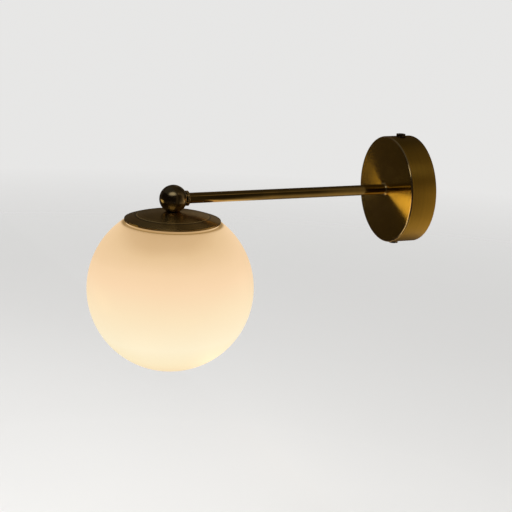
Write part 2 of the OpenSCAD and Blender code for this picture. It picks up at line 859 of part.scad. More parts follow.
module bulb_base() {
    core = base_d / 2 - thread_r;
    turns = floor((base_top - base_bottom - 3) / thread_pitch);
    color("gainsboro") at_head() difference() {
        union() {
            translate([0, 0, base_bottom]) cylinder(r = core, h = base_top - base_bottom);
            for (i = [0:turns - 1]) translate([0, 0, base_top - 1.6 - i * thread_pitch])
                rotate_extrude() translate([core, 0]) circle(r = thread_r, $fn = 32);
        }
        translate([0, 0, base_bottom - cut])
            cylinder(r = core - base_shell_t, h = base_top - base_bottom - base_shell_t + cut);
    }
}

module bulb_housing() {
    tongue_r = base_d / 2 - thread_r - base_shell_t - seat_gap;
    tongue_top = base_bottom + housing_tongue;
    flare_z = base_bottom - housing_flare_z;
    bore_r = tongue_r - housing_wall;
    color("white") at_head() rotate_extrude() polygon([
        [bore_r, tongue_top], [tongue_r, tongue_top], [tongue_r, base_bottom - seat_gap],
        [base_d / 2, base_bottom - seat_gap], [base_d / 2 + housing_flare, flare_z],
        [diffuser_rim_r, board_top], [diffuser_rim_r - 2 * housing_wall, board_top],
        [bore_r, flare_z]
    ]);
}

module bulb_led_board() {
    color("lightyellow") at_head() {
        translate([0, 0, board_z]) cylinder(r = board_r, h = board_t);
        for (i = [0:chips - 1]) rotate(i * 360 / chips)
            translate([board_r - chip_inset, -chip_size[1] / 2, board_z - chip_size[2]])
                cube([chip_size[0], chip_size[1], chip_size[2] + eps]);
    }
}

module bulb_driver() {
    width = 2 * (base_d / 2 - thread_r - base_shell_t - housing_wall - driver_clearance);
    height = base_top - housing_flare_z - board_top;
    color("seagreen") at_head() {
        translate([-width / 2, -driver_t / 2, board_top]) cube([width, driver_t, height]);
        translate([0, driver_t / 2 - eps, board_top + capacitor_h])
            rotate([-90, 0, 0]) cylinder(r = capacitor_r, h = capacitor_h);
    }
}

module bulb_diffuser() {
    color("white") at_head() difference() {
        translate([0, 0, bulb_centre]) sphere(r = bulb_r);
        translate([0, 0, bulb_centre]) sphere(r = bulb_r - diffuser_t);
        translate([-bulb_r, -bulb_r, board_top]) cube([bulb_d, bulb_d, bulb_d]);
    }
}

// ---- Wiring ----

module live_wire() {
    color("saddlebrown") wire(lamp_route(-pole_pitch, -wire_pitch / 2, live_x));
}

module neutral_wire() {
    color("royalblue") wire(lamp_route(0, wire_pitch / 2, neutral_x));
}

module earth_wire() {
    color("yellowgreen") wire([
        [crimp_start + 1, -crimp_axis_y, -earth_z],
        [crimp_start + crimp_len + crimp_past, -crimp_axis_y, -earth_z],
        [pole_pitch, -barrel_y, block_z - block_len / 2 - wire_lead],
        [pole_pitch, -barrel_y, block_z - barrel_len / 4]
    ]);
}

wall_bracket();
earth_screw();
earth_washer();
earth_ring_terminal();
terminal_block();
terminal_barrels();
terminal_wire_screws();
terminal_fixing_screws();
canopy();
top_side_screw();
bottom_side_screw();
canopy_collar();
arm_washer();
arm_nut();
arm_tube();
ball_collar();
ball_elbow();
head_nipple();
globe_cap();
spring_gallery();
head_washer();
head_nut();
neck_gasket();
glass_globe();
lampholder_cap();
lampholder_body();
lampholder_core();
lampholder_shell();
lampholder_contact();
lampholder_terminals();
lampholder_clamp_screws();
bulb_base();
bulb_insulator();
bulb_contact();
bulb_housing();
bulb_led_board();
bulb_driver();
bulb_diffuser();
live_wire();
neutral_wire();
earth_wire();
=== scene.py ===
"""Globe wall sconce: the looks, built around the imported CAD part.

Metres, in the part's own frame: the origin is the centre of the canopy's back rim, -Y is out of the wall
along the arm, +Z is up.
"""

import json
import math

import bmesh
import bpy
from mathutils import Matrix, Vector


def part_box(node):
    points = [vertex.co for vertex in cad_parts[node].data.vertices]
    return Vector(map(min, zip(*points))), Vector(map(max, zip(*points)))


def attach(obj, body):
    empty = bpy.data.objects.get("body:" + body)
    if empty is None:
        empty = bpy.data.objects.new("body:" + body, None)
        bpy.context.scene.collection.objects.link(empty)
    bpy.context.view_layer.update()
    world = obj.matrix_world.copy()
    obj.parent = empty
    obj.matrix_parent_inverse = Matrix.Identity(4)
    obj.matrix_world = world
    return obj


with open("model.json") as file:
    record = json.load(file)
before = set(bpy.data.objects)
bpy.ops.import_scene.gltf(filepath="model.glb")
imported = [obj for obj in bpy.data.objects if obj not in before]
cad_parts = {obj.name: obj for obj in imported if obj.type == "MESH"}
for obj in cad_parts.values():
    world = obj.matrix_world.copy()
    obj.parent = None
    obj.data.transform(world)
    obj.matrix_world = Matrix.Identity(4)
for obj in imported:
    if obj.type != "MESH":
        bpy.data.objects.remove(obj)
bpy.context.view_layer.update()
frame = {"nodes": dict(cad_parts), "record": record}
NODES = frame["nodes"]
RECORD = frame["record"]


# ---- Places, all read from the frame ----

def middle(node):
    """Centre of a CAD node's box."""
    low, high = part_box(node)
    return (low + high) / 2


# The head's upright axis, at the height of the arm
HEAD = Vector((middle("ball_elbow").x, middle("globe_cap").y, 0.0))
GLASS_LOW, GLASS_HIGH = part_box("glass_globe")
GLOBE_R = (GLASS_HIGH.x - GLASS_LOW.x) / 2
GLOBE_MIDDLE = GLASS_LOW.z + GLOBE_R
CAP_LOW, CAP_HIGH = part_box("globe_cap")
CAP_RIM = CAP_LOW.z
CANOPY_LOW, CANOPY_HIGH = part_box("canopy")
CANOPY_R = CANOPY_HIGH.x
CANOPY_FACE = CANOPY_LOW.y
CANOPY_AXIS = Vector()


# ---- Node trees ----

# Nearly all of a noise's values lie between these
NOISE_LOW, NOISE_HIGH = 0.3, 0.7


def darker(colour, share):
    """Colour with that share of its light taken away."""
    return tuple(channel * (1 - share) for channel in colour)


class Tree:
    """A material's node tree, with short calls for the nodes used here."""

    def __init__(self, name):
        self.material = bpy.data.materials.new(name)
        self.material.use_nodes = True
        self.tree = self.material.node_tree
        self.shader = self.tree.nodes["Principled BSDF"]
        self.output = self.tree.nodes["Material Output"]

    def put(self, socket, value):
        """Links a socket's value, or sets a plain one."""
        if isinstance(value, bpy.types.NodeSocket):
            self.tree.links.new(value, socket)
        else:
            socket.default_value = value

    def node(self, kind, *values, **settings):
        """New node with its settings, and with values for its first inputs."""
        made = self.tree.nodes.new(kind)
        for key, value in settings.items():
            setattr(made, key, value)
        for socket, value in zip(made.inputs, values):
            self.put(socket, value)
        return made

    def math(self, operation, *values):
        return self.node("ShaderNodeMath", *values, operation=operation).outputs[0]

    def vector(self, operation, *values):
        return self.node("ShaderNodeVectorMath", *values, operation=operation).outputs[0]

    def scaled(self, vector, factor):
        made = self.node("ShaderNodeVectorMath", vector, operation="SCALE")
        self.put(made.inputs["Scale"], factor)
        return made.outputs[0]

    def place(self):
        """The point in the part's frame, in metres."""
        return self.node("ShaderNodeTexCoord").outputs["Object"]

    def parts(self, vector):
        return self.node("ShaderNodeSeparateXYZ", vector).outputs

    def join(self, x, y, z):
        return self.node("ShaderNodeCombineXYZ", x, y, z).outputs[0]

    def noise(self, vector, scale, detail=2.0, roughness=0.5):
        made = self.node("ShaderNodeTexNoise")
        self.put(made.inputs["Vector"], vector)
        made.inputs["Scale"].default_value = scale
        made.inputs["Detail"].default_value = detail
        made.inputs["Roughness"].default_value = roughness
        return made.outputs["Fac"]

    def ramp(self, factor, stops):
        """Colour ramp through (position, colour) stops."""
        made = self.node("ShaderNodeValToRGB", factor)
        ramp = made.color_ramp
        while len(ramp.elements) < len(stops):
            ramp.elements.new(0.5)
        for element, (position, colour) in zip(ramp.elements, stops):
            element.position = position
            element.color = (*colour, 1.0)
        return made.outputs["Color"]

    def grey(self, factor, stops):
        """Ramp through (position, level) stops."""
        return self.ramp(factor, [(position, (level,) * 3) for position, level in stops])

    def blend(self, factor, first, second):
        """Number between first, at factor 0, and second, at factor 1."""
        made = self.node("ShaderNodeMix", data_type="FLOAT")
        for socket, value in zip((made.inputs[0], made.inputs[2], made.inputs[3]), (factor, first, second)):
            self.put(socket, value)
        return made.outputs[0]

    def mix(self, factor, first, second):
        """Colour between first, at factor 0, and second, at factor 1."""
        made = self.node("ShaderNodeMix", data_type="RGBA")
        self.put(made.inputs[0], factor)
        for socket, value in ((made.inputs[6], first), (made.inputs[7], second)):
            self.put(socket, value if isinstance(value, bpy.types.NodeSocket) else (*value, 1.0))
        return made.outputs[2]

    def scale(self, factor, low, high, to_low=0.0, to_high=1.0):
        """Maps factor from low..high to to_low..to_high, and stops at the ends."""
        return self.node("ShaderNodeMapRange", factor, low, high, to_low, to_high, clamp=True).outputs[0]

    def vary(self, noise, level, least, most):
        """Level that a noise carries from least to most times itself."""
        return self.scale(noise, NOISE_LOW, NOISE_HIGH, level * least, level * most)

    def patchy(self, noise, low, high, colour, shade):
        """Colour with patches up to shade darker, where a noise goes from high down to low."""
        return self.mix(self.scale(noise, low, high), darker(colour, shade), colour)

    def bump(self, height, strength, distance=0.0001):
        made = self.node("ShaderNodeBump")
        made.inputs["Strength"].default_value = strength
        made.inputs["Distance"].default_value = distance
        self.put(made.inputs["Height"], height)
        return made.outputs[0]

    def surface(self, **values):
        """Sets the shader's own sockets."""
        for key, value in values.items():
            name = key.replace("_", " ").title().replace("Ior", "IOR")
            if isinstance(value, tuple) and len(value) == 3:
                value = (*value, 1.0)
            self.put(self.shader.inputs[name], value)
        return self.material

    def emit(self, colour, strength):
        """Makes the material a plain light instead of a surface."""
        light = self.node("ShaderNodeEmission", (*colour, 1.0), strength)
        self.tree.links.new(light.outputs[0], self.output.inputs["Surface"])
        return self.material

    def round_places(self, axis, centre):
        """(distance from the axis, place along it, angle round it) of each point."""
        x, y, z = self.parts(self.place())
        if axis == "Y":
            u, v, along = self.math("SUBTRACT", x, centre.x), self.math("SUBTRACT", z, centre.z), y
        else:
            u, v, along = self.math("SUBTRACT", x, centre.x), self.math("SUBTRACT", y, centre.y), z
        square = self.math("ADD", self.math("MULTIPLY", u, u), self.math("MULTIPLY", v, v))
        return self.math("SQRT", square), along, self.math("ARCTAN2", v, u)


# ---- Brass ----

# How far the turning marks drift, in metres for each radian round the axis
RING_DRIFT = 0.0002
BAND_DRIFT = 0.0012

# How far the tube's lines drift, in radians for each metre along it
LINE_DRIFT = 1.6

# The lip is rubbed to smooth brass. The bead has painted shade on its outer flank, and a faint painted
# highlight in the rubbed brass colour on its inner one.
RUBBED_AND_HIGHLIGHT = (0.92, 0.64, 0.28)
LIP_ROUGHNESS = 0.13
LIP_CORE = 0.7
BEAD_FULL = 0.7
BEAD_PAINTED_SHADE = 0.7
BEAD_PAINTED_HIGHLIGHT = 0.25
BEAD_METAL = 0.94


def spun_brass(
    name, axis, centre, colour, roughness, spread, satin, patina=0.35, crown=0.0, lip=None, bead=None,
):
    """Lacquered brass spun on a lathe, with a little patina.

    The turning marks smear lights into fans across the rings, and tilt the surface there by up to spread.
    satin gives (from, to, roughness): along the axis, between the two, the surface turns to that roughness.
    crown is the slight swell that spinning leaves in a flat face, as slope per metre from the axis.
    lip gives (from, to, radius, half width): along the axis, between the two, the edge at that radius turns
    to smooth brass.
    bead gives (radius, half width, steepness) of a low ring turned into the face, with painted shade on its
    outer flank and a painted highlight on its inner one.
    """
    t = Tree(name)
    radius, along, angle = t.round_places(axis, centre)
    ring_places = t.join(radius, along, t.math("MULTIPLY", angle, RING_DRIFT))
    rings = t.noise(ring_places, scale=16000.0, detail=1.0, roughness=0.6)
    bands = t.noise(t.join(radius, along, t.math("MULTIPLY", angle, BAND_DRIFT)), scale=420.0)
    clouds = t.noise(t.place(), scale=38.0, detail=4.0, roughness=0.6)
    base = t.patchy(t.blend(0.6, bands, clouds), 0.36, 0.62, colour, patina)
    start, end, level = satin
    rough = t.vary(t.blend(0.5, rings, clouds), roughness, 0.85, 1.15)
    rough = t.math("MULTIPLY", rough, t.scale(along, start, end, 1.0, level / roughness))

    spin = (0.0, 1.0, 0.0) if axis == "Y" else (0.0, 0.0, 1.0)
    flat = t.node("ShaderNodeNewGeometry").outputs["Normal"]
    outward = t.vector("SUBTRACT", t.place(), tuple(centre))
    round_way = t.vector("CROSS_PRODUCT", spin, outward)
    across = t.vector("NORMALIZE", t.vector("CROSS_PRODUCT", flat, round_way))
    tilt = t.math("MULTIPLY", t.math("SUBTRACT", rings, 0.5), spread)
    metal, brushed = 1.0, 1.0
    if bead:
        ring, half, steep = bead
        wave = t.math("SINE", t.scale(radius, ring - half, ring + half, -math.pi, math.pi))
        tilt = t.math("ADD", tilt, t.math("MULTIPLY", wave, steep))
        # Painted shade on the bead's outer flank, and a painted highlight in the rubbed brass colour on its
        # inner flank
        base = t.mix(t.scale(wave, 0.0, BEAD_FULL), base, darker(colour, BEAD_PAINTED_SHADE))
        rub_and_highlight = t.scale(wave, 0.0, -BEAD_FULL, 0.0, BEAD_PAINTED_HIGHLIGHT)
        metal = t.scale(rub_and_highlight, 0.0, BEAD_PAINTED_HIGHLIGHT, 1.0, BEAD_METAL)
        base = t.mix(rub_and_highlight, base, RUBBED_AND_HIGHLIGHT)
    if lip:
        start, end, ring, half = lip
        off = t.math("ABSOLUTE", t.math("SUBTRACT", radius, ring))
        rub_and_highlight = t.math("MULTIPLY", t.scale(off, half * LIP_CORE, half, 1.0, 0.0), t.scale(along, start, end))
        rough = t.blend(rub_and_highlight, rough, LIP_ROUGHNESS)
        brushed = t.math("SUBTRACT", 1.0, rub_and_highlight)
        base = t.mix(rub_and_highlight, base, RUBBED_AND_HIGHLIGHT)
    slope = t.vector("ADD", t.scaled(across, tilt), t.scaled(outward, crown))
    return t.surface(
        base_color=base, metallic=metal, roughness=rough,
        normal=t.vector("NORMALIZE", t.vector("ADD", flat, slope)), anisotropic=brushed, tangent=across,
        coat_weight=0.05, coat_roughness=0.08,
    )


def drawn_brass(name, colour, roughness):
    """Lacquered brass tube, brushed along its length."""
    t = Tree(name)
    _, along, angle = t.round_places("Y", CANOPY_AXIS)
    line_places = t.join(angle, t.math("MULTIPLY", along, LINE_DRIFT), 0.0)
    lines = t.noise(line_places, scale=34.0, detail=3.0, roughness=0.6)
    clouds = t.noise(t.place(), scale=46.0, detail=4.0, roughness=0.6)
    return t.surface(
        base_color=t.patchy(clouds, 0.35, 0.66, colour, 0.28), metallic=1.0,
        roughness=t.vary(lines, roughness, 0.8, 1.2), normal=t.bump(lines, 0.05),
        coat_weight=0.6, coat_roughness=0.06,
    )


def polished_brass(name, colour, roughness, metal=1.0):
    """Polished brass with faint wiping marks."""
    t = Tree(name)
    clouds = t.noise(t.place(), scale=120.0, detail=5.0, roughness=0.62)
    wiping = t.noise(t.place(), scale=900.0, detail=3.0)
    return t.surface(
        base_color=t.patchy(clouds, 0.36, 0.64, colour, 0.22), metallic=metal,
        roughness=t.vary(clouds, roughness, 0.8, 1.25), normal=t.bump(wiping, 0.012),
        coat_weight=0.35, coat_roughness=0.04,
    )


# ---- Glass ----

# Colour of the lit glass, from the bottom of the ball to its top. The darkening towards the cap is painted
# shade.
GLASS_GLOW = (
    (0.0, (0.93, 0.70, 0.42)), (0.12, (0.965, 0.82, 0.54)), (0.24, (0.97, 0.85, 0.60)),
    (0.45, (0.955, 0.765, 0.50)), (0.62, (0.93, 0.665, 0.41)), (0.70, (0.885, 0.62, 0.365)),
    (0.785, (0.76, 0.515, 0.27)), (0.83, (0.635, 0.405, 0.19)), (0.885, (0.55, 0.335, 0.14)),
    (0.93, (0.48, 0.285, 0.12)),
)
GLOW_CLOUDS = 0.012

# The glow's colours sit a little lower on the side away from the wall, and higher towards it: painted
# light that makes the side towards the wall brighter
GLOW_FRONT, GLOW_BACK = 0.02, -0.035

# Near the cap, glass seen edge-on glows like glass up to LIMB_DROP lower down: a painted brightening that
# lifts the painted shade at the ball's edges. From and to are heights above the ball's middle, as shares of
# its radius.
LIMB_FROM, LIMB_TO, LIMB_DROP = 0.42, 0.75, 0.18
EDGE_ON_FROM = 0.1

# Painted shade in the groove where the ball meets its neck. Each pair is the place where that shade starts,
# and the place where it is full.
SHOULDER = CAP_RIM - 0.0024
NECK_R = CAP_HIGH.x - 0.0015
CREASE_BOTTOM = (SHOULDER - 0.0021, SHOULDER - 0.0008)
CREASE_TOP = (SHOULDER + 0.0006, SHOULDER + 0.0002)
CREASE_OUTSIDE = (NECK_R + 0.0048, NECK_R + 0.0026)
CREASE_SHADE = (0.25, 0.135, 0.03)
CREASE_SHARE = 0.92


def opal_glass(name):
    """Lit satin opal glass: cream below, peach with painted shade towards the cap and in the crease at the
    neck.
    """
    t = Tree(name)
    _, y, z = t.parts(t.place())
    radius, _, _ = t.round_places("Z", HEAD)
    clouds = t.noise(t.place(), scale=14.0, detail=3.0)
    satin = t.noise(t.place(), scale=700.0)
    # Where the glow sits on its ramp: painted shade towards the cap, painted light towards the wall and at
    # the edges near the cap
    height = t.scale(z, GLASS_LOW.z, GLASS_LOW.z + 2 * GLOBE_R)
    height = t.math("ADD", height, t.scale(clouds, NOISE_LOW, NOISE_HIGH, -GLOW_CLOUDS, GLOW_CLOUDS))
    height = t.math("ADD", height, t.scale(y, HEAD.y - GLOBE_R, HEAD.y + GLOBE_R, GLOW_FRONT, GLOW_BACK))
    facing = t.node("ShaderNodeLayerWeight", 0.5).outputs["Facing"]
    edge_on = t.scale(facing, EDGE_ON_FROM, 1.0, 0.0, LIMB_DROP)
    upper = t.scale(z, GLOBE_MIDDLE + LIMB_FROM * GLOBE_R, GLOBE_MIDDLE + LIMB_TO * GLOBE_R)
    height = t.math("SUBTRACT", height, t.math("MULTIPLY", edge_on, upper))
    # Painted shade in the crease at the neck
    crease_shade = t.math("MULTIPLY", t.scale(z, *CREASE_BOTTOM), t.scale(z, *CREASE_TOP, 0.0, CREASE_SHARE))
    crease_shade = t.math("MULTIPLY", crease_shade, t.scale(radius, *CREASE_OUTSIDE))
    return t.surface(
        base_color=(0.06, 0.055, 0.045), roughness=t.scale(clouds, NOISE_LOW, NOISE_HIGH, 0.34, 0.42),
        ior=1.5, specular_ior_level=0.3, emission_color=t.mix(crease_shade, t.ramp(height, GLASS_GLOW), CREASE_SHADE),
        emission_strength=0.97, normal=t.bump(satin, 0.02, 0.0002),
    )


# ---- Small parts ----

def plated_steel(name, colour, roughness=0.34):
    """Plated or tinned metal with a fine grain."""
    t = Tree(name)
    clouds = t.noise(t.place(), scale=210.0, detail=5.0, roughness=0.65)
    grain = t.noise(t.place(), scale=1500.0)
    return t.surface(
        base_color=t.patchy(clouds, 0.35, 0.65, colour, 0.18), metallic=1.0,
        roughness=t.vary(clouds, roughness, 0.75, 1.3), normal=t.bump(grain, 0.08),
    )


def moulded(name, colour, roughness, glow=None):
    """Moulded plastic, ceramic or silicone with a fine grain. glow is the colour it is lit with."""
    t = Tree(name)
    clouds = t.noise(t.place(), scale=90.0, detail=3.0)
    grain = t.noise(t.place(), scale=2400.0)
    t.surface(
        base_color=t.patchy(clouds, NOISE_LOW, NOISE_HIGH, colour, 0.1),
        roughness=t.vary(clouds, roughness, 0.85, 1.15), normal=t.bump(grain, 0.06),
    )
    if glow:
        t.surface(emission_color=glow, emission_strength=0.9)
    return t.material


# ---- The object's materials ----

MATERIALS = {}


def add_material(slot, make, *values, **details):
    MATERIALS[slot] = make(slot, *values, **details)


add_material(
    "canopy_brass", spun_brass, "Y", CANOPY_AXIS, (0.62, 0.38, 0.055), roughness=0.165, spread=0.25,
    satin=(CANOPY_FACE + 0.0012, CANOPY_FACE + 0.0025, 0.36), patina=0.14, crown=1.65,
    lip=(CANOPY_FACE + 0.0018, CANOPY_FACE + 0.0012, CANOPY_R - 0.0007, 0.0008),
)
add_material(
    "cap_bronze", spun_brass, "Z", HEAD, (0.70, 0.48, 0.18), roughness=0.22, spread=0.15,
    satin=(CAP_RIM + 0.0020, CAP_RIM + 0.0010, 0.4), bead=(0.0327, 0.0014, 0.15),
)
add_material("arm_brass", drawn_brass, (0.51, 0.34, 0.09), 0.10)
add_material("ball_brass", polished_brass, (0.34, 0.255, 0.125), 0.18)
add_material("collar_brass", polished_brass, (0.80, 0.58, 0.26), 0.14, metal=0.98)
add_material("screw_bronze", polished_brass, (0.15, 0.11, 0.065), 0.25)
add_material("plain_brass", polished_brass, (0.72, 0.50, 0.22), 0.24)
add_material("opal_glass", opal_glass)
add_material("zinc_steel", plated_steel, (0.66, 0.66, 0.65))
add_material("spring_steel", plated_steel, (0.45, 0.44, 0.42), 0.28)
add_material("tinned_copper", plated_steel, (0.70, 0.69, 0.66), 0.3)
add_material("base_nickel", plated_steel, (0.66, 0.65, 0.62), 0.22)
add_material("gasket_silicone", moulded, (0.74, 0.73, 0.69), 0.6)
add_material("holder_plastic", moulded, (0.035, 0.034, 0.033), 0.38)
add_material("core_ceramic", moulded, (0.84, 0.81, 0.74), 0.55)
add_material("insulator_black", moulded, (0.02, 0.02, 0.022), 0.15)
add_material("bulb_white", moulded, (0.82, 0.81, 0.78), 0.35)
add_material("bulb_opal", moulded, (0.14, 0.13, 0.11), 0.5, glow=(1.0, 0.80, 0.50))
add_material("board_white", moulded, (0.82, 0.82, 0.78), 0.4)
add_material("board_green", moulded, (0.03, 0.20, 0.08), 0.35)
add_material("block_nylon", moulded, (0.78, 0.76, 0.68), 0.5)
add_material("wire_brown", moulded, (0.17, 0.07, 0.03), 0.45)
add_material("wire_blue", moulded, (0.03, 0.11, 0.40), 0.45)
add_material("wire_green", moulded, (0.17, 0.40, 0.06), 0.45)

COLLARS = ("canopy_collar", "ball_collar")

for part in RECORD["subparts"]:
    look = "collar_brass" if part["node"] in COLLARS else part["material_slot"]
    for slot in NODES[part["node"]].material_slots:
        slot.material = MATERIALS[look]


# ---- Moulded grip ribs round the lampholder's skirt ----

RIBS = 20
RIB_HALF_WIDTH = 0.0007
RIB_RISE = 0.0004
RIB_ROOT = 0.0003
RIB_MARGIN = 0.005
RIB_END = 0.0012
RIB_TIP = 0.4
RIB_STEPS = 8


def add_ribs():
    """Ribs that bow out of the skirt, each narrowed to RIB_TIP of its width and sunk at both ends."""
    low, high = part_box("lampholder_body")
    skirt = (high.x - low.x) / 2
    rows = (
        (low.z + RIB_MARGIN, 0.0), (low.z + RIB_MARGIN + RIB_END, 1.0),
        (high.z - RIB_MARGIN - RIB_END, 1.0), (high.z - RIB_MARGIN, 0.0),
    )
    corners = RIB_STEPS + 1
    mesh = bmesh.new()
    for rib in range(RIBS):
        turn = 2 * math.pi * rib / RIBS
        out = Vector((math.cos(turn), math.sin(turn), 0.0))
        side = Vector((-math.sin(turn), math.cos(turn), 0.0))
        rings = []
        for z, swell in rows:
            width = RIB_HALF_WIDTH * (RIB_TIP + (1 - RIB_TIP) * swell)
            ring = []
            for step in range(corners):
                bow = math.pi * step / RIB_STEPS
                rise = math.sin(bow) * RIB_RISE * swell - RIB_ROOT * (1 - math.sin(bow))
                point = HEAD + out * (skirt + rise) + side * math.cos(bow) * width
                ring.append(mesh.verts.new((point.x, point.y, z)))
            rings.append(ring)
        for lower, upper in zip(rings, rings[1:]):
            for step in range(corners):
                after = (step + 1) % corners
                mesh.faces.new((lower[step], upper[step], upper[after], lower[after]))
        mesh.faces.new(rings[0])
        mesh.faces.new(rings[-1][::-1])
    bmesh.ops.recalc_face_normals(mesh, faces=mesh.faces)
    for face in mesh.faces:
        face.smooth = True
    data = bpy.data.meshes.new("lampholder_ribs")
    mesh.to_mesh(data)
    data.materials.append(MATERIALS["holder_plastic"])
    ribs = bpy.data.objects.new("lampholder_ribs", data)
    bpy.context.scene.collection.objects.link(ribs)
    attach(ribs, "lamp")


add_ribs()


# ---- Camera, at the photograph's viewing angle ----

CAMERA_AZIMUTH = math.radians(65.33)
CAMERA_HEIGHT = math.radians(14.22)
CAMERA_ROLL = math.radians(2.75)
CAMERA_DISTANCE = 1.32118
CAMERA_TARGET = Vector((0.0, -0.15684, -0.05739))
CAMERA_LENS = 101.10
SENSOR_WIDTH = 36.0


def make_camera():
    back = Vector((
        math.sin(CAMERA_AZIMUTH) * math.cos(CAMERA_HEIGHT),
        -math.cos(CAMERA_AZIMUTH) * math.cos(CAMERA_HEIGHT),
        math.sin(CAMERA_HEIGHT),
    ))
    right = Vector((math.cos(CAMERA_AZIMUTH), math.sin(CAMERA_AZIMUTH), 0.0))
    up = back.cross(right)
    turned_right = right * math.cos(CAMERA_ROLL) + up * math.sin(CAMERA_ROLL)
    turned_up = up * math.cos(CAMERA_ROLL) - right * math.sin(CAMERA_ROLL)
    data = bpy.data.cameras.new("camera")
    data.lens = CAMERA_LENS
    data.sensor_width = SENSOR_WIDTH
    camera = bpy.data.objects.new("camera", data)
    bpy.context.scene.collection.objects.link(camera)
    axes = Matrix((turned_right, turned_up, back)).transposed().to_4x4()
    camera.matrix_world = Matrix.Translation(CAMERA_TARGET + back * CAMERA_DISTANCE) @ axes
    bpy.context.scene.camera = camera


make_camera()


# ---- Floor, background and lamps ----

FLOOR_Z = -0.40
FLOOR_REACH = 3.0
FLOOR_FADE_FROM, FLOOR_FADE_TO = 0.5, 2.2
BACKGROUND = 0.80
WORLD_LIGHT = 0.45
LAMP_AIM = Vector((0.0, -0.13, -0.05))


def flat_corners(low, high, z):
    """Corners of a level sheet between two corners of the floor plan."""
    return [(*low, z), (high[0], low[1], z), (*high, z), (low[0], high[1], z)]


def upright_corners(start, end, low, high):
    """Corners of an upright sheet over the line from start to end on the floor plan."""
    return [(*start, low), (*end, low), (*end, high), (*start, high)]


def sheet(name, corners, material):
    """Flat sheet through its corners, which isn't part of the object."""
    mesh = bpy.data.meshes.new(name)
    mesh.from_pydata(corners, [], [range(len(corners))])
    mesh.materials.append(material)
    made = bpy.data.objects.new(name, mesh)
    bpy.context.scene.collection.objects.link(made)
    return made


def make_floor():
    """Pale floor that takes the object's shadow, and fades into the background far off and from below."""
    t = Tree("floor")
    far = t.node("ShaderNodeVectorMath", t.place(), operation="LENGTH").outputs["Value"]
    clouds = t.noise(t.place(), scale=3.0)
    t.surface(base_color=t.mix(clouds, (0.79, 0.785, 0.775), (0.81, 0.805, 0.795)), roughness=0.9)
    clear = t.node("ShaderNodeBsdfTransparent")
    below = t.node("ShaderNodeNewGeometry").outputs["Backfacing"]
    hidden = t.math("MAXIMUM", t.scale(far, FLOOR_FADE_FROM, FLOOR_FADE_TO), below)
    mixed = t.node("ShaderNodeMixShader", hidden, t.shader.outputs[0], clear.outputs[0])
    t.tree.links.new(mixed.outputs[0], t.output.inputs["Surface"])
    corners = flat_corners((-FLOOR_REACH, -FLOOR_REACH), (FLOOR_REACH, FLOOR_REACH), 0.0)
    floor = sheet("floor", corners, t.material)
    floor.location = (0.0, HEAD.y, FLOOR_Z)
    floor.visible_glossy = False


def make_world():
    """World that lights the object at WORLD_LIGHT. The camera, metal and glass see it at BACKGROUND."""
    world = bpy.data.worlds.new("studio")
    world.use_nodes = True
    tree = world.node_tree
    background = tree.nodes["Background"]
    path = tree.nodes.new("ShaderNodeLightPath")
    seen = path.outputs["Is Camera Ray"]
    for ray in ("Is Glossy Ray", "Is Transmission Ray"):
        either = tree.nodes.new("ShaderNodeMath")
        either.operation = "MAXIMUM"
        tree.links.new(seen, either.inputs[0])
        tree.links.new(path.outputs[ray], either.inputs[1])
        seen = either.outputs[0]
    level = tree.nodes.new("ShaderNodeMapRange")
    tree.links.new(seen, level.inputs["Value"])
    level.inputs["To Min"].default_value = WORLD_LIGHT
    level.inputs["To Max"].default_value = BACKGROUND
    background.inputs["Color"].default_value = (1.0, 0.995, 0.985, 1.0)
    tree.links.new(level.outputs[0], background.inputs["Strength"])
    bpy.context.scene.world = world


def lamp(name, point, size, power):
    """Soft area lamp. Reflections show the cards below in its place."""
    data = bpy.data.lights.new(name, "AREA")
    data.shape = "RECTANGLE"
    data.size, data.size_y = size
    data.energy = power
    made = bpy.data.objects.new(name, data)
    look = LAMP_AIM - Vector(point)
    made.matrix_world = Matrix.Translation(point) @ look.to_track_quat("-Z", "Y").to_matrix().to_4x4()
    made.visible_glossy = False
    bpy.context.scene.collection.objects.link(made)


make_floor()
make_world()
lamp("key", (-0.5, -1.1, 0.9), (0.7, 0.7), 14.0)
lamp("side", (1.4, 0.1, 0.5), (0.6, 0.9), 7.0)
lamp("top", (0.1, 0.0, 1.3), (0.8, 0.5), 6.0)


# ---- Cards that only reflections show ----

# A dark tent stands far round the lamp, with the wall close behind it. Low in front it has one bright
# floor, whose two straight sides, seen in the brushed face of the canopy, are the sides of the bright fans.
SIDE = 8.0
TOP = 6.0
BOTTOM = -2.0
UNDER_BRIGHT_FLOOR = BOTTOM - 0.01
WALL = 0.03
WHITE = (1.0, 1.0, 1.0)
WARM = (1.0, 0.82, 0.72)

FACE = Vector((0.0, CANOPY_FACE, 0.0))
TO_CAMERA = (bpy.context.scene.camera.matrix_world.translation - FACE).normalized()
FAN_LOW, FAN_HIGH = math.radians(-26.0), math.radians(4.0)
FAN_START, FAN_END = 0.01, 0.55
FAN_STEPS = 12

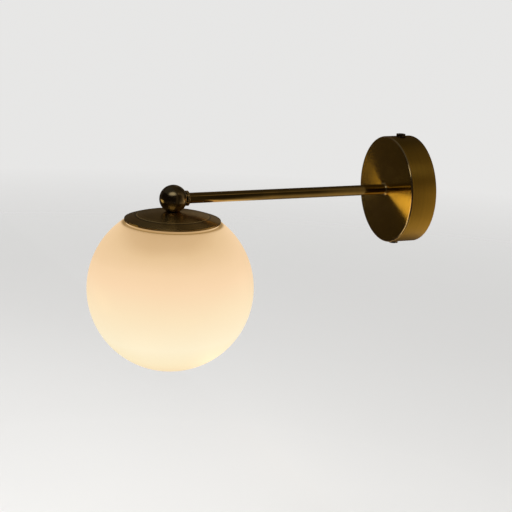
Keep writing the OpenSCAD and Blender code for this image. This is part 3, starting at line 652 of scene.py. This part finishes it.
# Light on the wall, as (turn, level). The turn goes round the canopy's axis: 0 is the -X side, 0.25 below,
# 0.5 the +X side and 0.75 above. The four are near the canopy, further out, far off, and the halo close
# round the canopy's edge. Each pair of radii below is where one light starts to give way to the next, and
# where it has.
WALL_NEAR = (
    (0.0, 0.05), (0.17, 0.06), (0.22, 0.20), (0.28, 0.50), (0.37, 0.38), (0.46, 0.23), (0.53, 0.22),
    (0.64, 0.19), (0.8, 0.05),
)
WALL_MID = (
    (0.0, 0.05), (0.13, 0.12), (0.23, 0.27), (0.33, 0.35), (0.39, 0.29), (0.46, 0.09), (0.53, 0.045),
    (0.61, 0.035), (0.647, 0.18), (0.685, 0.06), (0.72, 0.08), (0.8, 0.03), (0.9, 0.06), (0.95, 0.13),
)
WALL_FAR = (
    (0.0, 0.08), (0.03, 0.10), (0.10, 0.45), (0.17, 1.3), (0.23, 1.3), (0.29, 0.5), (0.36, 0.13),
    (0.42, 0.02), (0.615, 0.02), (0.645, 0.30), (0.675, 0.04), (0.76, 0.05), (0.84, 0.04), (0.90, 0.16),
    (0.94, 0.13),
)
WALL_HALO = ((0.20, 0.0), (0.30, 1.0), (0.50, 1.0), (0.56, 0.0))
BEHIND_TO_NEAR = (0.035, 0.06)
HALO_INSIDE, HALO_OUTSIDE = (0.05, 0.075), (0.105, 0.08)
NEAR_TO_MID = (0.14, 0.26)
MID_TO_FAR = (0.39, 0.50)
FAR_TO_PLAIN = (0.56, 0.75)
BEHIND_CANOPY = 0.45
HALO = 0.6

# An oval card is even out to this share of its half widths, squared
OVAL_CORE = 0.15


def card(name, corners, level, colour, glow=None):
    """Studio card that only reflections show: a dark one is a flag, a bright one a softbox.

    glow, if given, makes the card's strength from its node tree and its level.
    """
    t = Tree(name)
    made = sheet(name, corners, t.emit(colour, glow(t, level) if glow else level))
    made.visible_camera = False
    made.visible_diffuse = False
    made.visible_shadow = False
    made.visible_transmission = False


def oval_card(name, away, across, distance, half_width, half_height, level, colour):
    """Oval card that faces the head from the direction away, and fades towards its edge."""
    away, across = Vector(away).normalized(), Vector(across).normalized()
    rise = away.cross(across).normalized()
    centre = HEAD + away * distance
    corners = []
    for degrees in range(0, 360, 10):
        turn = math.radians(degrees)
        corners.append(centre + across * half_width * math.cos(turn) + rise * half_height * math.sin(turn))

    def fade(t, strength):
        here = t.vector("SUBTRACT", t.place(), tuple(centre))
        sides = []
        for axis, half in ((across, half_width), (rise, half_height)):
            dot = t.node("ShaderNodeVectorMath", here, tuple(axis / half), operation="DOT_PRODUCT")
            side = dot.outputs["Value"]
            sides.append(t.math("MULTIPLY", side, side))
        return t.scale(t.math("ADD", *sides), OVAL_CORE, 1.0, strength, 0.0)

    card(name, corners, level, colour, fade)


def wall_glow(t, level):
    """The lit wall behind the lamp: the globe's pool of light, and a halo round the canopy."""
    radius, _, angle = t.round_places("Y", CANOPY_AXIS)
    turn = t.scale(angle, -math.pi, math.pi)
    ring = t.math("MULTIPLY", t.scale(radius, *HALO_INSIDE), t.scale(radius, *HALO_OUTSIDE, 0.0, HALO))
    glow = t.math("ADD", t.grey(turn, WALL_NEAR), t.math("MULTIPLY", ring, t.grey(turn, WALL_HALO)))
    glow = t.blend(t.scale(radius, *BEHIND_TO_NEAR), BEHIND_CANOPY, glow)
    glow = t.blend(t.scale(radius, *NEAR_TO_MID), glow, t.grey(turn, WALL_MID))
    glow = t.blend(t.scale(radius, *MID_TO_FAR), glow, t.grey(turn, WALL_FAR))
    return t.blend(t.scale(radius, *FAR_TO_PLAIN), glow, level)


def fan_side(angle):
    """Points on the tent's floor that turning marks at that angle round the canopy mirror to the camera."""
    points = []
    for step in range(FAN_STEPS + 1):
        reach = FAN_START + (FAN_END - FAN_START) * (step / FAN_STEPS) ** 2
        x, z = math.cos(angle) * reach - TO_CAMERA.x, math.sin(angle) * reach - TO_CAMERA.z
        depth = 1 - x * x - z * z
        if depth < 0:
            break
        points.append((x * BOTTOM / z, -math.sqrt(depth) * BOTTOM / z, BOTTOM))
    return points


FRONT_LEFT, FRONT_RIGHT = (-SIDE, -SIDE), (SIDE, -SIDE)
WALL_LEFT, WALL_RIGHT = (-SIDE, WALL), (SIDE, WALL)
card("tent_left", upright_corners(FRONT_LEFT, WALL_LEFT, BOTTOM, TOP), 0.04, WARM)
card("tent_front", upright_corners(FRONT_LEFT, FRONT_RIGHT, BOTTOM, TOP), 0.014, WARM)
card("tent_right", upright_corners(FRONT_RIGHT, WALL_RIGHT, BOTTOM, TOP), 0.014, WARM)
card("tent_wall", upright_corners(WALL_LEFT, WALL_RIGHT, BOTTOM, TOP), 0.058, (1.0, 0.8, 0.54), wall_glow)
card("tent_top", flat_corners(FRONT_LEFT, WALL_RIGHT, TOP), 0.06, WHITE)
card("tent_floor", flat_corners(FRONT_LEFT, WALL_RIGHT, UNDER_BRIGHT_FLOOR), 0.03, WARM)
card("bright_floor", fan_side(FAN_LOW) + fan_side(FAN_HIGH)[::-1], 1.6, (1.0, 0.78, 0.34))
oval_card(
    "lit_floor", away=(0.11, -0.43, -0.9), across=(1.0, 0.0, 0.0), distance=1.8,
    half_width=1.1, half_height=0.6, level=0.8, colour=(1.0, 0.9, 0.75),
)
oval_card(
    "softbox", away=(0.51, -0.36, 0.78), across=(0.417, 0.909, 0.0), distance=0.25,
    half_width=0.161, half_height=0.078, level=0.95, colour=(1.0, 0.99, 0.94),
)

bpy.context.scene.view_settings.view_transform = "Standard"
